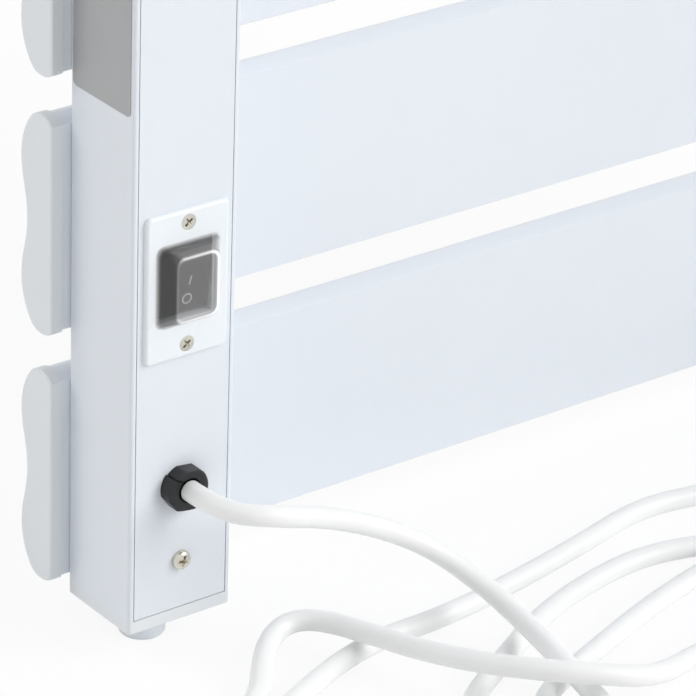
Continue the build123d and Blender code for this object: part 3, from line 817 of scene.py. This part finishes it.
# The mains cord: X, Y and the height of its middle line over where it lies, in metres
cordSettings = {"radius": 3.6 * mm, "exitRun": 18 * mm, "length": 2.3}
cordRoute = [
    (0.2095, -0.0075, 0.0574), (0.188, -0.0105, 0.0494), (0.1665, -0.0105, 0.0394),
    (0.1475, -0.0065, 0.028), (0.1365, 0.007, 0.0175), (0.1325, 0.025, 0.0102),
    (0.1365, 0.052, 0.0084), (0.136, 0.07, 0.003), (0.142, 0.1, 0), (0.128, 0.138, 0),
    (0.088, 0.154, 0), (0.046, 0.142, 0), (0.02, 0.112, 0), (0.024, 0.076, 0), (0.054, 0.058, 0),
    (0.09, 0.064, 0.003), (0.1205, 0.0775, 0.0105), (0.142, 0.0705, 0.016),
    (0.155, 0.059, 0.016), (0.1635, 0.041, 0.0125), (0.171, 0.019, 0.009),
    (0.178, 0.0005, 0.0085), (0.185, -0.0155, 0.008), (0.193, -0.0215, 0.007),
    (0.202, -0.0195, 0.005), (0.2115, -0.011, 0.003), (0.225, 0.006, 0.001), (0.252, 0.019, 0),
    (0.287, 0.04, 0), (0.304, 0.074, 0), (0.297, 0.114, 0), (0.262, 0.144, 0), (0.214, 0.15, 0),
    (0.186, 0.126, 0), (0.17, 0.088, 0), (0.152, 0.055, 0), (0.113, 0.0395, 0),
    (0.073, 0.025, 0), (0.028, 0.015, 0), (-0.01, 0.024, 0), (-0.048, 0.044, 0),
    (-0.092, 0.046, 0), (-0.124, 0.018, 0), (-0.12, -0.021, 0), (-0.088, -0.04, 0),
    (-0.05, -0.029, 0), (-0.009, -0.003, 0), (0.026, 0.01, 0), (0.055, 0, 0), (0.082, 0.0025, 0),
    (0.113, 0.0115, 0), (0.146, 0.0295, 0), (0.176, 0.0475, 0), (0.189, 0.095, 0),
    (0.22, 0.117, 0), (0.258, 0.102, 0), (0.274, 0.064, 0), (0.246, 0.0265, 0),
    (0.199, 0.003, 0), (0.17, -0.0055, 0), (0.1405, -0.005, 0), (0.104, -0.011, 0),
    (0.07, -0.0185, 0), (0.038, -0.027, 0), (0.008, -0.0205, 0), (-0.026, -0.024, 0),
    (-0.057, -0.046, 0), (-0.086, -0.062, 0), (-0.116, -0.056, 0.0033), (-0.146, -0.041, 0.0033),
]
cordExit = Vector((postX, highCorner("cable_gland").y, glandZ))
layZ = floorZ + cordSettings["radius"]
cordPoints = [cordExit, cordExit + Vector((0, cordSettings["exitRun"], 0))]
cordPoints += [Vector((x, y, layZ + rise)) for x, y, rise in cordRoute]


# Plug: a ribbed sleeve, a two-pin body with finger grips, and collars on its pins
plugSettings = {
    "sleeveLength": 24.0,
    "sleeveStart": 4.6,
    "sleeveEnd": 6.2,
    "sleeveBore": 3.4,
    "ribs": 7,
    "firstGroove": 0.75,  # where it starts, in pitches from the cord's end
    "grooveSteps": (0.12, 0.38, 0.5),  # where a groove's floor starts and ends and where it closes
    "ribDepth": 0.55,
    "neck": (17.0, 12.6),
    "neckLength": 1.0,
    "body": (35.0, 13.7),
    "shoulder": 24.0,
    "front": 12.0,
    "side": 5.6,
    "frontRound": 1.0,
    "gripEdge": 2.4,
    "gripSlope": 0.5,
    "gripDepth": 0.5,
    "pinGap": 18.6,
    "collarRadius": 2.06,
    "collarLength": 9.0,
    "collarBore": 1.9,
    "collarLip": (0.2, 0.8),  # how far it stands out, and how long it is
}


def plugPlace(along):
    # Local X across the plug, Y up and Z on from the cord's end, in millimetres.
    heading = (cordPoints[-1] - cordPoints[-2]).normalized()
    across = Vector((0, 0, 1)).cross(heading).normalized()
    turn = Matrix((across, heading.cross(across), heading)).transposed().to_4x4()
    return Matrix.Translation(cordPoints[-1] + heading * along * mm) @ turn @ Matrix.Scale(mm, 4)


def makePlugSleeve(settings):
    # The rib tops follow the taper, and the grooves between them are cut below it.
    length, ribs = settings["sleeveLength"], settings["ribs"]
    start, grow = settings["sleeveStart"], settings["sleeveEnd"] - settings["sleeveStart"]
    pitch = length / (ribs + 1)
    bore = settings["sleeveBore"]
    floorStart, floorEnd, closed = settings["grooveSteps"]
    profile = [(bore, 0), (start, 0)]
    for rib in range(ribs):
        place = (rib + settings["firstGroove"]) * pitch
        radius = start + grow * place / length
        floor = radius - settings["ribDepth"]
        profile += [
            (radius, place), (floor, place + floorStart * pitch), (floor, place + floorEnd * pitch),
            (radius, place + closed * pitch),
        ]
    profile += [(settings["sleeveEnd"], length), (bore, length)]
    bm = bmesh.new()
    spinProfile(bm, profile, steps=40)
    mesh = meshFrom(bm, "plugSleeve", plugPlace(0), smoothAngle=25)
    return linkPiece("plugSleeve", mesh, finishes["cordSkin"], "rail")


def makePlugBody(settings):
    bm = bmesh.new()
    bmesh.ops.create_cube(bm, size=1)
    neckLength = settings["neckLength"]
    bmesh.ops.scale(bm, vec=(*settings["neck"], neckLength), verts=bm.verts)
    bmesh.ops.translate(bm, vec=(0, 0, neckLength / 2), verts=bm.verts)
    raiseFace(bm, highestFace(bm), settings["body"], settings["shoulder"] - neckLength)
    raiseFace(bm, highestFace(bm), settings["body"], settings["front"])
    long = [e for e in bm.edges if abs(e.verts[0].co.z - e.verts[1].co.z) > neckLength / 2]
    roundEdges(bm, long, settings["side"], segments=7)
    roundEdges(bm, highestFace(bm).edges[:], settings["frontRound"], segments=3)
    gripFaces = [
        face for face in bm.faces
        if abs(face.normal.y) > 0.9 and face.calc_center_median().z > settings["shoulder"]
    ]
    for face in gripFaces:
        bmesh.ops.inset_individual(bm, faces=[face], thickness=settings["gripEdge"], depth=0)
        bmesh.ops.inset_individual(
            bm, faces=[face], thickness=settings["gripSlope"], depth=-settings["gripDepth"],
        )
    mesh = meshFrom(bm, "plugBody", plugPlace(settings["sleeveLength"]), smoothAngle=32)
    return linkPiece("plugBody", mesh, finishes["cordSkin"], "rail")


def makePinCollars(settings):
    # Insulating collars over the rear half of both pins.
    radius, length, bore = settings["collarRadius"], settings["collarLength"], settings["collarBore"]
    lipReach, lipLength = settings["collarLip"]
    profile = [(bore, 0), (radius + lipReach, 0), (radius, lipLength), (radius, length), (bore, length)]
    bm = bmesh.new()
    for side in (-1, 1):
        collar = bmesh.new()
        spinProfile(collar, profile, steps=32)
        bmesh.ops.translate(collar, vec=(side * settings["pinGap"] / 2, 0, 0), verts=collar.verts)
        part = bpy.data.meshes.new("collarPart")
        collar.to_mesh(part)
        collar.free()
        bm.from_mesh(part)
        bpy.data.meshes.remove(part)
    along = settings["sleeveLength"] + settings["shoulder"] + settings["front"]
    mesh = meshFrom(bm, "pinCollars", plugPlace(along), smoothAngle=30)
    return linkPiece("pinCollars", mesh, finishes["cordSkin"], "rail")


plugSleeve = makePlugSleeve(plugSettings)
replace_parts(plugSleeve, "plug_sleeve")
plugBody = makePlugBody(plugSettings)
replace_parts(plugBody, "mains_plug")
pinCollars = makePinCollars(plugSettings)
print("plug made")


def makeCord(settings, points):
    curve = bpy.data.curves.new("mainsCord", "CURVE")
    curve.dimensions = "3D"
    curve.bevel_depth = settings["radius"]
    curve.bevel_resolution = 8
    curve.resolution_u = 10
    curve.use_fill_caps = True
    spline = curve.splines.new("NURBS")
    spline.points.add(len(points) - 1)
    for place, point in zip(points, spline.points):
        point.co = (*place, 1)
    spline.order_u = 3
    spline.use_endpoint_u = True
    return linkPiece("mainsCord", curve, finishes["cordSkin"], "rail")


mainsCord = makeCord(cordSettings, cordPoints)
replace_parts(mainsCord, "mains_cord")
print("cord laid over", len(cordPoints), "points")


# Floor, world and lamps
stageSettings = {
    "floorSize": 30.0,
    "floorColour": (0.97, 0.97, 0.97),
    "cameraWhite": 0.87,  # how much of the floor's light is plain white for the camera
    "worldLight": 0.5,
    "lamps": {  # where each one's light comes from, and how strong it is
        "keyLamp": ((-0.55, 0.65, 0.52), 1.7),
        "fillLamp": ((0.6, -0.5, 0.62), 0.75),
    },
    "softness": 40.0,
}


def seenRays(tree):
    # One where the camera, a mirror or glass looks.
    rays = tree.nodes.new("ShaderNodeLightPath").outputs
    seen = mathNode(tree, "MAXIMUM", rays["Is Camera Ray"], rays["Is Glossy Ray"])
    return mathNode(tree, "MAXIMUM", seen, rays["Is Transmission Ray"])


def makeFloor(settings):
    bm = bmesh.new()
    bmesh.ops.create_grid(bm, x_segments=1, y_segments=1, size=settings["floorSize"] / 2)
    mesh = meshFrom(bm, "paleFloor", Matrix.Translation((0, 0, floorZ)))
    floor = bpy.data.objects.new("paleFloor", mesh)
    bpy.context.scene.collection.objects.link(floor)
    material = bpy.data.materials.new("paleFloor")
    material.use_nodes = True
    tree = material.node_tree
    shader = tree.nodes["Principled BSDF"]
    shader.inputs["Base Color"].default_value = (*settings["floorColour"], 1)
    shader.inputs["Roughness"].default_value = 1.0
    shader.inputs["Specular IOR Level"].default_value = 0.0
    glow = tree.nodes.new("ShaderNodeEmission")
    mix = tree.nodes.new("ShaderNodeMixShader")
    share = mathNode(tree, "MULTIPLY", seenRays(tree), settings["cameraWhite"])
    tree.links.new(share, mix.inputs["Fac"])
    tree.links.new(shader.outputs["BSDF"], mix.inputs[1])
    tree.links.new(glow.outputs["Emission"], mix.inputs[2])
    tree.links.new(mix.outputs["Shader"], tree.nodes["Material Output"].inputs["Surface"])
    floor.data.materials.append(material)


def makeWorld(settings):
    world = bpy.data.worlds.new("softWhite")
    bpy.context.scene.world = world
    world.use_nodes = True
    tree = world.node_tree
    background = tree.nodes["Background"]
    background.inputs["Color"].default_value = (1, 1, 1, 1)
    strength = spreadNode(tree, seenRays(tree), (0.0, 1.0), (settings["worldLight"], 1.0))
    tree.links.new(strength, background.inputs["Strength"])


def makeLamp(name, comesFrom, strength, softness):
    # A soft sun, so that its light is the same all over the rail.
    lamp = bpy.data.lights.new(name, "SUN")
    lamp.energy = strength
    lamp.angle = math.radians(softness)
    lampObject = bpy.data.objects.new(name, lamp)
    lampObject.rotation_mode = "QUATERNION"
    lampObject.rotation_quaternion = Vector(comesFrom).to_track_quat("Z", "Y")
    bpy.context.scene.collection.objects.link(lampObject)


makeFloor(stageSettings)
makeWorld(stageSettings)
for name, (comesFrom, strength) in stageSettings["lamps"].items():
    makeLamp(name, comesFrom, strength, stageSettings["softness"])
bpy.context.scene.view_settings.view_transform = "Standard"
print("floor, world and lamps set")
